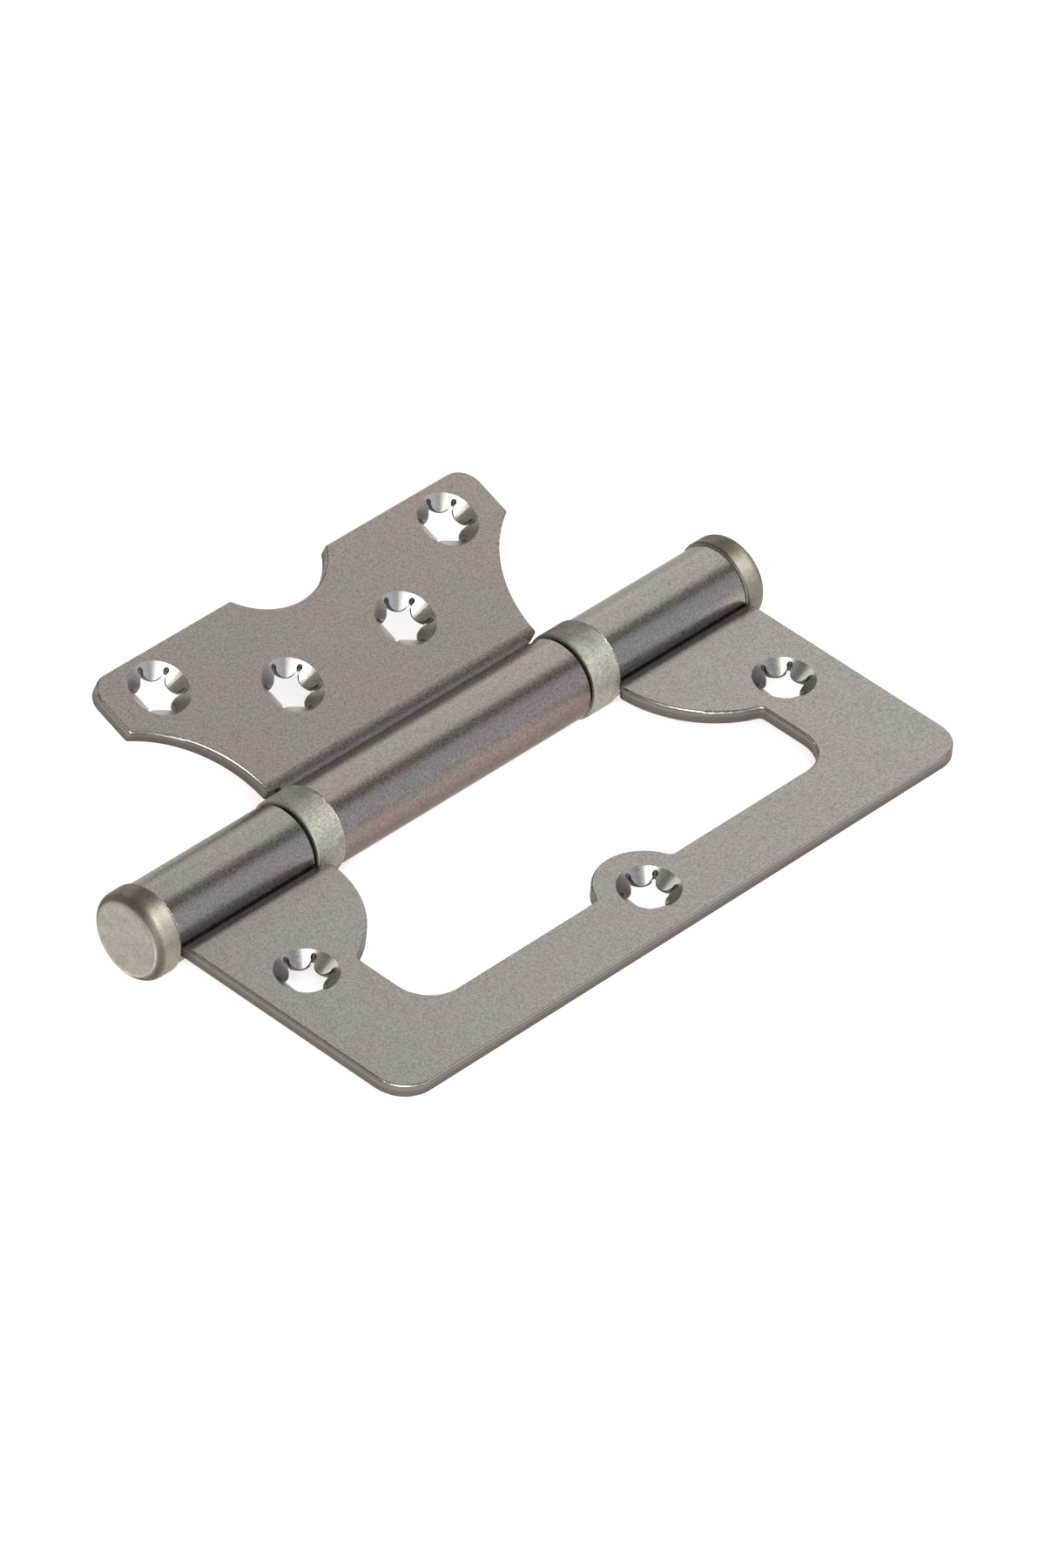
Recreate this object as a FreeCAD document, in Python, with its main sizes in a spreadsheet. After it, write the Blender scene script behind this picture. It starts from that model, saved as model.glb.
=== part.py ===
"""Butterfly door hinge with ball bearing collars, open at the angle it lies at."""
import FreeCAD, Part
import Sketcher
import math
import os

# Frame
# X runs along the pin, with the near end of the hinge at -X.
# The frame leaf lies flat towards -Y and the door leaf rises towards +Y.
# Z is up, on the side where the screw heads go in. The origin is the middle of the pin.
# Both leaves are drawn alike, reaching towards +Y of their own body, and are then turned.

# Driving sizes in millimetres and degrees
SIZES = {
    "sheet_thickness": 1.8,
    "leaf_length": 100.0,
    "outer_reach": 42.7,
    "outer_corner_radius": 4.5,
    "side_bar_width": 14.05,
    "front_bar_width": 9.6,
    "window_corner_radius": 5.0,
    "ear_overhang": 1.3,
    "ear_radius": 15.6,
    "tip_radius": 0.8,
    "neck_height": 0.85,
    "boss_radius": 7.05,
    "boss_set_in": 2.45,
    "boss_fillet": 1.0,
    "nest_clearance": 2.8,
    "ear_clearance": 2.0,
    "inner_corner_radius": 3.0,
    "inner_point_radius": 0.5,
    "leaf_tilt": 20.2,
    "knuckle_radius": 5.55,
    "knuckle_roll": 0.2,
    "seam_angle": 7.5,
    "crease_radius": 4.8,
    "crease_reach": 2.1,
    "bend_radius": 0.8,
    "end_knuckle_length": 23.1,
    "knuckle_gap": 5.15,
    "outer_hole_inset": 7.8,
    "outer_hole_out": 19.0,
    "inner_hole_inset": 7.85,
    "inner_hole_margin": 5.15,
    "close_hole_along": 9.9,
    "close_hole_out": 16.75,
    "screw_rim_radius": 4.06,
    "screw_cone_angle": 100.0,
    "screw_pilot_radius": 1.9,
    "petal_tip_radius": 2.16,
    "petal_round": 1.74,
    "relief_radius": 0.38,
    "edge_roll": 0.25,
    "pin_clearance": 0.05,
    "pin_chamfer": 0.5,
    "pin_end_gap": 0.1,
    "collar_proud": 0.3,
    "collar_gap": 0.5,
    "collar_floor": 1.5,
    "collar_wall": 0.6,
    "collar_clearance": 0.08,
    "collar_round": 0.3,
    "end_play": 0.05,
    "race_clearance": 0.3,
    "race_round": 0.2,
    "ball_diameter": 1.2,
    "ball_gap": 0.05,
    "ball_count": 16,
    "cap_proud": 0.37,
    "cap_height": 3.6,
    "cap_face_round": 1.5,
    "cap_back_round": 0.35,
    "cap_spigot_length": 5.0,
    "cap_spigot_clearance": 0.03,
}

# Sizes that follow from them
DERIVED = {
    "sheet_half": "sheet_thickness / 2",
    "leaf_half": "leaf_length / 2",
    "knuckle_bore": "knuckle_radius - sheet_thickness",
    "pin_radius": "knuckle_bore - pin_clearance",
    "pin_length": "leaf_length - 2 * (cap_spigot_length + pin_end_gap)",
    "end_knuckle_start": "leaf_half - end_knuckle_length",
    "middle_end": "end_knuckle_start - knuckle_gap",
    "crease_out": "knuckle_radius + crease_reach",
    "crease_centre_down": "crease_radius - sheet_half",
    "middle_knuckle_length": "2 * middle_end",
    "window_half_width": "leaf_half - side_bar_width",
    "window_reach": "outer_reach - front_bar_width",
    "ear_centre_along": "end_knuckle_start - ear_overhang + ear_radius",
    "ear_centre_out": "knuckle_radius + neck_height",
    "boss_centre_out": "window_reach + boss_set_in",
    "outer_hole_along": "leaf_half - outer_hole_inset",
    "inner_half_width": "window_half_width - nest_clearance",
    "inner_reach": "window_reach - nest_clearance",
    "ear_room_radius": "ear_radius + ear_clearance",
    "boss_room_radius": "boss_radius + nest_clearance",
    "wide_hole_along": "inner_half_width - inner_hole_inset",
    "wide_hole_out": "inner_reach - inner_hole_margin",
    "petal_centre_distance": "petal_tip_radius + petal_round",
    "relief_distance": "petal_centre_distance * cos(30 deg)",
    "collar_radius": "knuckle_radius + collar_proud",
    "collar_length": "knuckle_gap - end_play - collar_gap",
    "collar_cup_radius": "collar_radius - collar_wall",
    "collar_cup_depth": "collar_length - collar_floor",
    "collar_bore": "pin_radius + collar_clearance",
    "near_collar_start": "-(middle_end + end_play + collar_length)",
    "far_collar_start": "end_knuckle_start - end_play - collar_length",
    "race_radius": "collar_cup_radius - race_clearance",
    "race_thickness": "knuckle_gap - end_play - collar_floor - ball_diameter - 2 * ball_gap",
    "near_race_start": "-end_knuckle_start",
    "far_race_start": "middle_end",
    "ball_radius": "ball_diameter / 2",
    "ball_distance": "collar_cup_radius - ball_radius - ball_gap",
    "near_balls_at": "near_race_start + race_thickness + ball_gap + ball_radius",
    "far_balls_at": "far_race_start + race_thickness + ball_gap + ball_radius",
    "cap_radius": "knuckle_radius + cap_proud",
    "cap_spigot_radius": "knuckle_bore - cap_spigot_clearance",
}

# The star of each screw hole has six tabs, one every sixty degrees
PETALS = 6
PETAL_STEP = 60


# Helpers for bodies and sketches
def make_sheet(doc):
    """Write the driving sizes and the formulas of the others, each under its own name."""
    sheet = doc.addObject("Spreadsheet::Sheet", "sizes")
    cells = [(name, str(value)) for name, value in SIZES.items()]
    cells += [(name, "=" + formula) for name, formula in DERIVED.items()]
    for row, (name, content) in enumerate(cells, start=1):
        sheet.set("A%d" % row, name)
        sheet.set("B%d" % row, content)
        sheet.setAlias("B%d" % row, name)
    doc.recompute()
    return sheet


def size(name):
    """Read a size from the sheet, for the first drawing of a sketch."""
    return float(FreeCAD.ActiveDocument.getObject("sizes").get(name))


def new_body(doc, name):
    body = doc.addObject("PartDesign::Body", name)
    body.Label = name
    return body


def origin_part(body, role):
    for feature in body.Origin.OriginFeatures:
        if feature.Role == role:
            return feature
    raise RuntimeError("no " + role)


def new_sketch(body, role, name, offset=None):
    sketch = body.newObject("Sketcher::SketchObject", name)
    sketch.AttachmentSupport = [(origin_part(body, role), "")]
    sketch.MapMode = "FlatFace"
    for axis, expression in (offset or {}).items():
        sketch.setExpression("AttachmentOffset.Base." + axis, expression)
    return sketch


def hold(sketch, constraint, expression):
    index = sketch.addConstraint(constraint)
    sketch.setExpression("Constraints[%d]" % index, expression)


def hold_point(sketch, geometry, position, along, out):
    """Hold a point by its distances from the sketch's origin; None leaves that way free."""
    point = sketch.getPoint(geometry, position)
    for letter, value, expression in (("X", point.x, along), ("Y", point.y, out)):
        if expression is None:
            continue
        if abs(value) < 1e-9:
            axis = -2 if letter == "X" else -1
            sketch.addConstraint(Sketcher.Constraint("PointOnObject", geometry, position, axis))
        elif value > 0:
            distance = Sketcher.Constraint("Distance" + letter, -1, 1, geometry, position, value)
            hold(sketch, distance, expression)
        else:
            distance = Sketcher.Constraint("Distance" + letter, geometry, position, -1, 1, -value)
            hold(sketch, distance, expression)


def circle_at(x, y, radius):
    return Part.Circle(FreeCAD.Vector(x, y, 0), FreeCAD.Vector(0, 0, 1), radius)


def add_circle(sketch, x, y, radius, along, out, radius_expression):
    index = sketch.addGeometry(circle_at(x, y, radius), False)
    hold_point(sketch, index, 3, along, out)
    hold(sketch, Sketcher.Constraint("Radius", index, radius), radius_expression)


def draw_outline(sketch, corners, arcs):
    """Draw a closed outline of upright and level lines and of arcs.

    A corner is (x, y, x expression, y expression), with None where nothing holds it.
    An arc is keyed by the corner it leaves: (centre x, centre y, radius, their three
    expressions, clockwise or not).
    """
    ends = []
    count = len(corners)
    for index in range(count):
        start = corners[index]
        end = corners[(index + 1) % count]
        if index in arcs:
            centre_x, centre_y, radius = arcs[index][:3]
            first = math.atan2(start[1] - centre_y, start[0] - centre_x)
            last = math.atan2(end[1] - centre_y, end[0] - centre_x)
            clockwise = arcs[index][6]
            if clockwise:
                first, last = last, first
            if last < first:
                last += 2 * math.pi
            circle = circle_at(centre_x, centre_y, radius)
            geometry = sketch.addGeometry(Part.ArcOfCircle(circle, first, last), False)
            ends.append((geometry, 2, 1) if clockwise else (geometry, 1, 2))
        else:
            line = Part.LineSegment(FreeCAD.Vector(start[0], start[1], 0),
                                    FreeCAD.Vector(end[0], end[1], 0))
            geometry = sketch.addGeometry(line, False)
            ends.append((geometry, 1, 2))
    for index in range(count):
        following = ends[(index + 1) % count]
        here = ends[index]
        joined = Sketcher.Constraint("Coincident", here[0], here[2], following[0], following[1])
        sketch.addConstraint(joined)
    for index in range(count):
        if index in arcs:
            continue
        start = corners[index]
        end = corners[(index + 1) % count]
        direction = "Vertical" if abs(start[0] - end[0]) < abs(start[1] - end[1]) else "Horizontal"
        sketch.addConstraint(Sketcher.Constraint(direction, ends[index][0]))
    for index, arc in arcs.items():
        hold_point(sketch, ends[index][0], 3, arc[3], arc[4])
        hold(sketch, Sketcher.Constraint("Radius", ends[index][0], arc[2]), arc[5])
    for index, corner in enumerate(corners):
        hold_point(sketch, ends[index][0], ends[index][1], corner[2], corner[3])


# Helpers for features
def pad(body, sketch, name, length_expression, midplane=False):
    feature = body.newObject("PartDesign::Pad", name)
    feature.Profile = sketch
    feature.Midplane = midplane
    feature.setExpression("Length", length_expression)
    body.Document.recompute()
    return feature


def pocket(body, sketch, name, midplane=False):
    before = body.Shape.Volume
    feature = body.newObject("PartDesign::Pocket", name)
    feature.Profile = sketch
    feature.Midplane = midplane
    feature.Type = "ThroughAll"
    body.Document.recompute()
    if not body.Shape.Volume < before:
        raise RuntimeError(name + " cuts nothing")
    return feature


def turned(body, name, corners):
    """Turn an outline of (x, radius) corners round the pin's axis."""
    sketch = new_sketch(body, "XY_Plane", name + "_section")
    draw_outline(sketch, corners, {})
    feature = body.newObject("PartDesign::Revolution", name)
    feature.Profile = sketch
    feature.ReferenceAxis = (origin_part(body, "X_Axis"), [""])
    feature.Angle = 360
    body.Document.recompute()
    return feature


def mirrored(body, features, name):
    feature = body.newObject("PartDesign::Mirrored", name)
    feature.Originals = features
    feature.MirrorPlane = (origin_part(body, "YZ_Plane"), [""])
    body.Tip = feature
    body.Document.recompute()
    return feature


def ease_edges(body, name, radius_expression, wanted, kind="Fillet"):
    base = body.Tip
    names = ["Edge%d" % number for number, edge in enumerate(base.Shape.Edges, start=1) if wanted(edge)]
    if not names:
        raise RuntimeError(name + " finds no edge")
    feature = body.newObject("PartDesign::" + kind, name)
    feature.Base = (base, names)
    feature.setExpression("Radius" if kind == "Fillet" else "Size", radius_expression)
    body.Document.recompute()
    return feature


def middle_of(edge):
    return edge.valueAt((edge.FirstParameter + edge.LastParameter) / 2)


def upright_at(*places):
    """Pick the edges through the sheet that stand at these places on either side."""
    def wanted(edge):
        point = middle_of(edge)
        tall = edge.BoundBox.ZLength > size("sheet_half")
        thin = max(edge.BoundBox.XLength, edge.BoundBox.YLength) < 0.01
        near = any(math.hypot(abs(point.x) - x, point.y - y) < 0.1 for x, y in places)
        return tall and thin and near
    return wanted


def top_outline(edge):
    """Pick the edges round the sheet's top face."""
    return edge.BoundBox.ZMin > size("sheet_half") - 0.01 and middle_of(edge).y > size("knuckle_bore") + 0.1


def round_at(x, radius):
    """Pick the full circles of one radius round the pin's axis at one place along it."""
    def wanted(edge):
        if not hasattr(edge.Curve, "Radius"):
            return False
        return abs(middle_of(edge).x - x) < 1e-4 and abs(edge.Curve.Radius - radius) < 1e-4
    return wanted


# Parts of a leaf
def leaf_plate(body, half_name, reach_name):
    half, reach, root = size(half_name), size(reach_name), size("knuckle_bore")
    sketch = new_sketch(body, "XY_Plane", body.Label + "_outline", {"z": "-sizes.sheet_half"})
    draw_outline(sketch, [
        (-half, root, "sizes." + half_name, "sizes.knuckle_bore"),
        (half, root, None, None),
        (half, reach, "sizes." + half_name, "sizes." + reach_name),
        (-half, reach, None, None),
    ], {})
    return pad(body, sketch, body.Label + "_plate", "sizes.sheet_thickness")


def rolled_knuckle(body, name, start_expression, length_expression, midplane):
    """The sheet rolled round the pin, whose free end stops just above the leaf."""
    outer, bore = size("knuckle_radius"), size("knuckle_bore")
    free_end = math.radians(size("seam_angle"))
    offset = {"z": start_expression} if start_expression else None
    sketch = new_sketch(body, "YZ_Plane", name + "_section", offset)
    outer_arc = sketch.addGeometry(Part.ArcOfCircle(circle_at(0, 0, outer), free_end, 2 * math.pi), False)
    bore_arc = sketch.addGeometry(Part.ArcOfCircle(circle_at(0, 0, bore), free_end, 2 * math.pi), False)
    inner_lip = FreeCAD.Vector(bore * math.cos(free_end), bore * math.sin(free_end), 0)
    outer_lip = FreeCAD.Vector(outer * math.cos(free_end), outer * math.sin(free_end), 0)
    lip = sketch.addGeometry(Part.LineSegment(inner_lip, outer_lip), False)
    root_line = Part.LineSegment(FreeCAD.Vector(bore, 0, 0), FreeCAD.Vector(outer, 0, 0))
    root = sketch.addGeometry(root_line, False)
    sketch.addConstraint(Sketcher.Constraint("Coincident", outer_arc, 3, -1, 1))
    sketch.addConstraint(Sketcher.Constraint("Coincident", bore_arc, 3, -1, 1))
    hold(sketch, Sketcher.Constraint("Radius", outer_arc, outer), "sizes.knuckle_radius")
    hold(sketch, Sketcher.Constraint("Radius", bore_arc, bore), "sizes.knuckle_bore")
    sketch.addConstraint(Sketcher.Constraint("Coincident", lip, 1, bore_arc, 1))
    sketch.addConstraint(Sketcher.Constraint("Coincident", lip, 2, outer_arc, 1))
    sketch.addConstraint(Sketcher.Constraint("Coincident", root, 1, bore_arc, 2))
    sketch.addConstraint(Sketcher.Constraint("Coincident", root, 2, outer_arc, 2))
    sketch.addConstraint(Sketcher.Constraint("PointOnObject", root, 1, -1))
    sketch.addConstraint(Sketcher.Constraint("PointOnObject", root, 2, -1))
    sketch.addConstraint(Sketcher.Constraint("PointOnObject", -1, 1, lip))
    hold(sketch, Sketcher.Constraint("Angle", lip, free_end), "sizes.seam_angle * 1 deg")
    return pad(body, sketch, name, length_expression, midplane)


def crease(body, name):
    """Lower the top of the leaf in one long curve, where the sheet dips under its free end."""
    start, end, top = size("crease_out"), size("knuckle_bore"), size("sheet_half")
    centre, radius, above = -size("crease_centre_down"), size("crease_radius"), size("knuckle_radius")
    foot = centre + math.sqrt(radius ** 2 - (start - end) ** 2)
    sketch = new_sketch(body, "YZ_Plane", name + "_section")
    draw_outline(sketch, [
        (start, top, "sizes.crease_out", None),
        (start, above, None, "sizes.knuckle_radius"),
        (end, above, "sizes.knuckle_bore", None),
        (end, foot, None, None),
    ], {
        3: (start, centre, radius, "sizes.crease_out", "sizes.crease_centre_down",
            "sizes.crease_radius", True),
    })
    pocket(body, sketch, name, midplane=True)


def bend_edge(edge):
    """Pick the inside corner under the leaf where the sheet turns into the knuckle."""
    out = math.sqrt(size("knuckle_radius") ** 2 - size("sheet_half") ** 2)
    point = middle_of(edge)
    long = edge.BoundBox.XLength > 1
    return long and abs(point.y - out) < 0.02 and abs(point.z + size("sheet_half")) < 0.02


def knuckle_end(edge):
    """Pick the outer rims at the knuckles' ends."""
    if not hasattr(edge.Curve, "Radius"):
        return False
    upright = edge.BoundBox.XLength < 0.01
    return upright and abs(edge.Curve.Radius - size("knuckle_radius")) < 1e-4 and edge.Length > 5


def countersinks(body, places):
    """Conical seats for the screw heads, let into the top of the sheet."""
    sketch = new_sketch(body, "XY_Plane", body.Label + "_screws", {"z": "sizes.sheet_half"})
    for side, along, out in places:
        x = side * size(along) if along else 0
        add_circle(sketch, x, size(out), size("screw_pilot_radius"),
                   "sizes.%s" % along, "sizes." + out, "sizes.screw_pilot_radius")
    body.Document.recompute()
    hole = body.newObject("PartDesign::Hole", body.Label + "_countersinks")
    hole.Profile = sketch
    body.Document.recompute()
    hole.DepthType = "ThroughAll"
    hole.HoleCutType = "Countersink"
    hole.HoleCutCustomValues = True
    hole.setExpression("Diameter", "sizes.screw_pilot_radius * 2")
    hole.setExpression("HoleCutDiameter", "sizes.screw_rim_radius * 2")
    hole.setExpression("HoleCutCountersinkAngle", "sizes.screw_cone_angle")
    body.Document.recompute()
    return hole


def petal_star(body, name, along, out):
    """The opening between six tabs, whose slits end in small round relief holes."""
    place = {"z": "sizes.sheet_half", "y": "sizes." + out}
    if along:
        place["x"] = "sizes." + along
    sketch = new_sketch(body, "XY_Plane", name + "_section", place)
    petal_distance, petal_radius = size("petal_centre_distance"), size("petal_round")
    relief_distance, relief_radius = size("relief_distance"), size("relief_radius")
    half_step = math.radians(PETAL_STEP / 2)
    petal_centre = FreeCAD.Vector(petal_distance, 0, 0)
    outward = FreeCAD.Vector(math.cos(half_step), math.sin(half_step), 0)
    between = outward * relief_distance - petal_centre
    reach = (petal_radius ** 2 - relief_radius ** 2 + between.Length ** 2) / (2 * between.Length)
    rise = math.sqrt(petal_radius ** 2 - reach ** 2)
    unit = between / between.Length
    crossing = petal_centre + unit * reach + FreeCAD.Vector(-unit.y, unit.x, 0) * rise
    petal_sweep = math.atan2(crossing.y, petal_distance - crossing.x)
    relief_sweep = (crossing - outward * relief_distance).getAngle(outward)
    petals = []
    reliefs = []
    for number in range(PETALS):
        turn = math.radians(PETAL_STEP * number)
        middle = turn + half_step
        circle = circle_at(petal_distance * math.cos(turn), petal_distance * math.sin(turn), petal_radius)
        arc = Part.ArcOfCircle(circle, math.pi + turn - petal_sweep, math.pi + turn + petal_sweep)
        petals.append(sketch.addGeometry(arc, False))
        circle = circle_at(relief_distance * math.cos(middle), relief_distance * math.sin(middle),
                           relief_radius)
        arc = Part.ArcOfCircle(circle, middle - relief_sweep, middle + relief_sweep)
        reliefs.append(sketch.addGeometry(arc, False))
    for number in range(PETALS):
        following = petals[(number + 1) % PETALS]
        sketch.addConstraint(Sketcher.Constraint("Coincident", petals[number], 1, reliefs[number], 1))
        sketch.addConstraint(Sketcher.Constraint("Coincident", reliefs[number], 2, following, 2))
    for arcs, distance, radius, offset in (
            (petals, "sizes.petal_centre_distance", "sizes.petal_round", 0),
            (reliefs, "sizes.relief_distance", "sizes.relief_radius", PETAL_STEP / 2)):
        first_radius = sketch.Geometry[arcs[0]].Radius
        hold(sketch, Sketcher.Constraint("Radius", arcs[0], first_radius), radius)
        for number, arc in enumerate(arcs):
            angle = PETAL_STEP * number + offset
            hold_point(sketch, arc, 3, "abs(%s * cos(%g deg))" % (distance, angle),
                       "abs(%s * sin(%g deg))" % (distance, angle))
            if number:
                sketch.addConstraint(Sketcher.Constraint("Equal", arcs[0], arc))
    return pocket(body, sketch, name)


# The leaves
def make_outer_leaf(doc):
    body = new_body(doc, "outer_leaf")
    leaf_plate(body, "leaf_half", "outer_reach")
    centre_x, centre_y, ear = size("ear_centre_along"), size("ear_centre_out"), size("ear_radius")
    boss_y, boss = size("boss_centre_out"), size("boss_radius")
    side, front, start = size("window_half_width"), size("window_reach"), size("end_knuckle_start")
    ear_top = centre_y + math.sqrt(ear ** 2 - (centre_x - side) ** 2)
    boss_side = math.sqrt(boss ** 2 - (boss_y - front) ** 2)
    ear_arc = ("sizes.ear_centre_along", "sizes.ear_centre_out", "sizes.ear_radius", True)
    boss_arc = ("0", "sizes.boss_centre_out", "sizes.boss_radius", True)
    sketch = new_sketch(body, "XY_Plane", "window_outline", {"z": "sizes.sheet_half"})
    draw_outline(sketch, [
        (-start, 0, "sizes.end_knuckle_start", "0"),
        (start, 0, "sizes.end_knuckle_start", None),
        (start, centre_y, None, "sizes.ear_centre_out"),
        (centre_x - ear, centre_y, None, None),
        (side, ear_top, "sizes.window_half_width", None),
        (side, front, None, "sizes.window_reach"),
        (boss_side, front, None, None),
        (-boss_side, front, None, None),
        (-side, front, "sizes.window_half_width", "sizes.window_reach"),
        (-side, ear_top, None, None),
        (ear - centre_x, centre_y, None, None),
        (-start, centre_y, None, "sizes.ear_centre_out"),
    ], {
        3: (centre_x, centre_y, ear) + ear_arc,
        6: (0, boss_y, boss) + boss_arc,
        9: (-centre_x, centre_y, ear) + ear_arc,
    })
    pocket(body, sketch, "window")
    ease_edges(body, "outer_corners", "sizes.outer_corner_radius",
               upright_at((size("leaf_half"), size("outer_reach"))))
    ease_edges(body, "window_corners", "sizes.window_corner_radius", upright_at((side, front)))
    ease_edges(body, "ear_tips", "sizes.tip_radius",
               upright_at((centre_x - ear, centre_y), (side, ear_top)))
    ease_edges(body, "boss_corners", "sizes.boss_fillet", upright_at((boss_side, front)))
    ease_edges(body, "outer_edge_roll", "sizes.edge_roll", top_outline)
    crease(body, "outer_crease")
    end = rolled_knuckle(body, "end_knuckle", "sizes.end_knuckle_start", "sizes.end_knuckle_length", False)
    mirrored(body, [end], "other_end_knuckle")
    ease_edges(body, "outer_bend", "sizes.bend_radius", bend_edge)
    ease_edges(body, "end_knuckle_rims", "sizes.knuckle_roll", knuckle_end)
    countersinks(body, [
        (-1, "outer_hole_along", "outer_hole_out"),
        (1, "outer_hole_along", "outer_hole_out"),
        (0, None, "boss_centre_out"),
    ])
    petal_star(body, "boss_star", None, "boss_centre_out")
    star = petal_star(body, "side_star", "outer_hole_along", "outer_hole_out")
    mirrored(body, [star], "other_side_star")
    body.Placement = FreeCAD.Placement(FreeCAD.Vector(0, 0, 0), FreeCAD.Rotation(180, 0, 0))
    return body


def make_inner_leaf(doc):
    body = new_body(doc, "inner_leaf")
    half, reach, middle_end = size("inner_half_width"), size("inner_reach"), size("middle_end")
    leaf_plate(body, "inner_half_width", "inner_reach")
    ease_edges(body, "inner_corners", "sizes.inner_corner_radius", upright_at((half, reach)))
    centre_x, centre_y = size("ear_centre_along"), size("ear_centre_out")
    cut, room = size("ear_room_radius"), size("boss_room_radius")
    sketch = new_sketch(body, "XY_Plane", "ear_room_outline", {"z": "sizes.sheet_half"})
    draw_outline(sketch, [
        (middle_end, 0, "sizes.middle_end", "0"),
        (centre_x, 0, None, None),
        (centre_x, centre_y + cut, None, None),
        (centre_x - cut, centre_y, None, None),
        (middle_end, centre_y, None, None),
    ], {
        2: (centre_x, centre_y, cut, "sizes.ear_centre_along", "sizes.ear_centre_out",
            "sizes.ear_room_radius", False),
    })
    # The arc, third of the outline, is centred on the lines before and after it
    sketch.addConstraint(Sketcher.Constraint("PointOnObject", 2, 3, 1))
    sketch.addConstraint(Sketcher.Constraint("PointOnObject", 2, 3, 3))
    ear_room = pocket(body, sketch, "ear_room")
    mirrored(body, [ear_room], "other_ear_room")
    sketch = new_sketch(body, "XY_Plane", "boss_room_outline", {"z": "sizes.sheet_half"})
    add_circle(sketch, 0, size("boss_centre_out"), room,
               "0", "sizes.boss_centre_out", "sizes.boss_room_radius")
    pocket(body, sketch, "boss_room")
    ear_top = centre_y + math.sqrt(cut ** 2 - (centre_x - half) ** 2)
    room_side = math.sqrt(room ** 2 - (size("boss_centre_out") - reach) ** 2)
    ease_edges(body, "inner_points", "sizes.inner_point_radius",
               upright_at((half, ear_top), (centre_x - cut, centre_y), (room_side, reach)))
    ease_edges(body, "inner_edge_roll", "sizes.edge_roll", top_outline)
    crease(body, "inner_crease")
    rolled_knuckle(body, "middle_knuckle", None, "sizes.middle_knuckle_length", True)
    ease_edges(body, "inner_bend", "sizes.bend_radius", bend_edge)
    ease_edges(body, "middle_knuckle_rims", "sizes.knuckle_roll", knuckle_end)
    countersinks(body, [
        (-1, "wide_hole_along", "wide_hole_out"),
        (1, "wide_hole_along", "wide_hole_out"),
        (-1, "close_hole_along", "close_hole_out"),
        (1, "close_hole_along", "close_hole_out"),
    ])
    star = petal_star(body, "wide_star", "wide_hole_along", "wide_hole_out")
    mirrored(body, [star], "other_wide_star")
    star = petal_star(body, "close_star", "close_hole_along", "close_hole_out")
    mirrored(body, [star], "other_close_star")
    body.Placement = FreeCAD.Placement(FreeCAD.Vector(0, 0, 0),
                                       FreeCAD.Rotation(FreeCAD.Vector(1, 0, 0), size("leaf_tilt")))
    body.setExpression("Placement.Rotation.Angle", "sizes.leaf_tilt")
    return body


# What turns on the pin
def make_pin(doc):
    body = new_body(doc, "hinge_pin")
    sketch = new_sketch(body, "YZ_Plane", "pin_section")
    add_circle(sketch, 0, 0, size("pin_radius"), "0", "0", "sizes.pin_radius")
    pad(body, sketch, "pin_rod", "sizes.pin_length", True)
    ease_edges(body, "pin_chamfers", "sizes.pin_chamfer",
               lambda edge: len(edge.Vertexes) == 1, "Chamfer")
    return body


def make_cap(doc, name, side):
    """A turned cap whose spigot fills the knuckle's end."""
    body = new_body(doc, name)
    height, outer = size("cap_height"), size("cap_radius")
    length, spigot = size("cap_spigot_length"), size("cap_spigot_radius")
    turned(body, name + "_turned", [
        (-length, 0, "sizes.cap_spigot_length", "0"),
        (height, 0, "sizes.cap_height", None),
        (height, outer, None, "sizes.cap_radius"),
        (0, outer, "0", None),
        (0, spigot, None, "sizes.cap_spigot_radius"),
        (-length, spigot, None, None),
    ])
    ease_edges(body, name + "_face_round", "sizes.cap_face_round", round_at(height, outer))
    ease_edges(body, name + "_back_round", "sizes.cap_back_round", round_at(0, outer))
    turn = FreeCAD.Rotation(0, 0, 0) if side > 0 else FreeCAD.Rotation(180, 0, 0)
    body.Placement = FreeCAD.Placement(FreeCAD.Vector(side * size("leaf_half"), 0, 0), turn)
    body.setExpression("Placement.Base.x", "%d * sizes.leaf_half" % side)
    return body


def make_collar(doc, name, start):
    """A cup open towards the near end, with room for the bearing balls inside it."""
    body = new_body(doc, name)
    length, depth, outer = size("collar_length"), size("collar_cup_depth"), size("collar_radius")
    cup, hole = size("collar_cup_radius"), size("collar_bore")
    turned(body, name + "_turned", [
        (0, cup, "0", "sizes.collar_cup_radius"),
        (depth, cup, "sizes.collar_cup_depth", None),
        (depth, hole, None, "sizes.collar_bore"),
        (length, hole, "sizes.collar_length", None),
        (length, outer, None, "sizes.collar_radius"),
        (0, outer, None, None),
    ])

    def rims(edge):
        return round_at(0, outer)(edge) or round_at(length, outer)(edge)
    ease_edges(body, name + "_rims", "sizes.collar_round", rims)
    body.setExpression("Placement.Base.x", "sizes." + start)
    return body


def make_race(doc, name, start):
    """The washer that the balls run on."""
    body = new_body(doc, name)
    thickness, outer, hole = size("race_thickness"), size("race_radius"), size("collar_bore")
    turned(body, name + "_turned", [
        (0, hole, "0", "sizes.collar_bore"),
        (thickness, hole, "sizes.race_thickness", None),
        (thickness, outer, None, "sizes.race_radius"),
        (0, outer, None, None),
    ])
    ease_edges(body, name + "_rim", "sizes.race_round", round_at(0, outer))
    body.setExpression("Placement.Base.x", "sizes." + start)
    return body


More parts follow.
